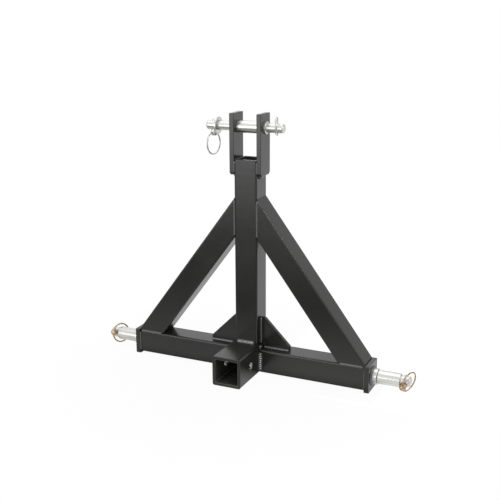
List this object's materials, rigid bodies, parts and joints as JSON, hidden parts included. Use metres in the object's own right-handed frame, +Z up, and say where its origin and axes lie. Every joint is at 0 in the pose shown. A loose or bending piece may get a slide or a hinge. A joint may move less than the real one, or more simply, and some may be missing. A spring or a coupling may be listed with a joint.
{
  "type": "three point hitch adapter",
  "caption": "Welded A-frame of black square tube with a receiver socket, a top-link clevis and lift pins, to carry a trailer hitch on a tractor linkage.",
  "frame": {"origin": "on the ground between the two end plates, under the middle of the crossbar", "axes": "+X along the crossbar to the clip end of the top pin, -Y out of the receiver's mouth, +Z up"},
  "size_m": [0.7141, 0.1519, 0.5538],
  "materials": {
    "black_paint": "semi-gloss black powder coat",
    "clear_zinc": "bright zinc plate, turned",
    "yellow_zinc": "yellow zinc plate"
  },
  "bodies": {
    "frame": {"crossbar_tube": "black_paint", "mast_tube": "black_paint", "left_brace_tube": "black_paint", "right_brace_tube": "black_paint", "left_gusset": "black_paint", "right_gusset": "black_paint", "left_end_plate": "black_paint", "right_end_plate": "black_paint", "left_lift_pin": "clear_zinc", "right_lift_pin": "clear_zinc", "left_lift_pin_weld": "black_paint", "right_lift_pin_weld": "black_paint", "receiver_tube": "black_paint", "left_clevis_lug": "black_paint", "right_clevis_lug": "black_paint", "left_linch_pin": "yellow_zinc", "right_linch_pin": "yellow_zinc", "lug_welds": "black_paint", "brace_welds": "black_paint", "mast_welds": "black_paint", "gusset_welds": "black_paint", "receiver_welds": "black_paint", "end_plate_welds": "black_paint"},
    "top_pin": {"top_link_pin": "clear_zinc", "top_pin_washer": "clear_zinc", "top_pin_r_clip": "clear_zinc", "top_linch_pin": "clear_zinc"},
    "top_bushing": {"top_pin_bushing": "clear_zinc"},
    "left_sleeve": {"left_lift_sleeve": "clear_zinc"},
    "right_sleeve": {"right_lift_sleeve": "clear_zinc"},
    "left_ring": {"left_linch_ring": "yellow_zinc"},
    "right_ring": {"right_linch_ring": "yellow_zinc"},
    "top_ring": {"top_linch_ring": "clear_zinc"}
  },
  "joints": [
    {"name": "top_pin_spin", "type": "hinge", "parent": "frame", "child": "top_pin", "pos_m": [0, -0.0024, 0.5252], "axis": [1, 0, 0], "continuous": true},
    {"name": "top_bushing_spin", "type": "hinge", "parent": "frame", "child": "top_bushing", "pos_m": [0.0074, -0.0024, 0.5252], "axis": [1, 0, 0], "continuous": true},
    {"name": "left_sleeve_spin", "type": "hinge", "parent": "frame", "child": "left_sleeve", "pos_m": [-0.31055, 0, 0.029], "axis": [1, 0, 0], "continuous": true},
    {"name": "right_sleeve_spin", "type": "hinge", "parent": "frame", "child": "right_sleeve", "pos_m": [0.31055, 0, 0.029], "axis": [1, 0, 0], "continuous": true},
    {"name": "left_ring_swing", "type": "hinge", "parent": "frame", "child": "left_ring", "pos_m": [-0.3416, -0.01635, 0.03495], "axis": [0, 0.342, 0.9397], "range_deg": [-5, 175]},
    {"name": "right_ring_swing", "type": "hinge", "parent": "frame", "child": "right_ring", "pos_m": [0.3416, -0.01564, 0.02137], "axis": [0, 0.4384, -0.8988], "range_deg": [-55, 125]},
    {"name": "top_ring_swing", "type": "hinge", "parent": "top_pin", "child": "top_ring", "pos_m": [-0.0795, -0.0046, 0.50953], "axis": [-0.1392, -0.9806, 0.1378], "range_deg": [-180, 60]}
  ]
}
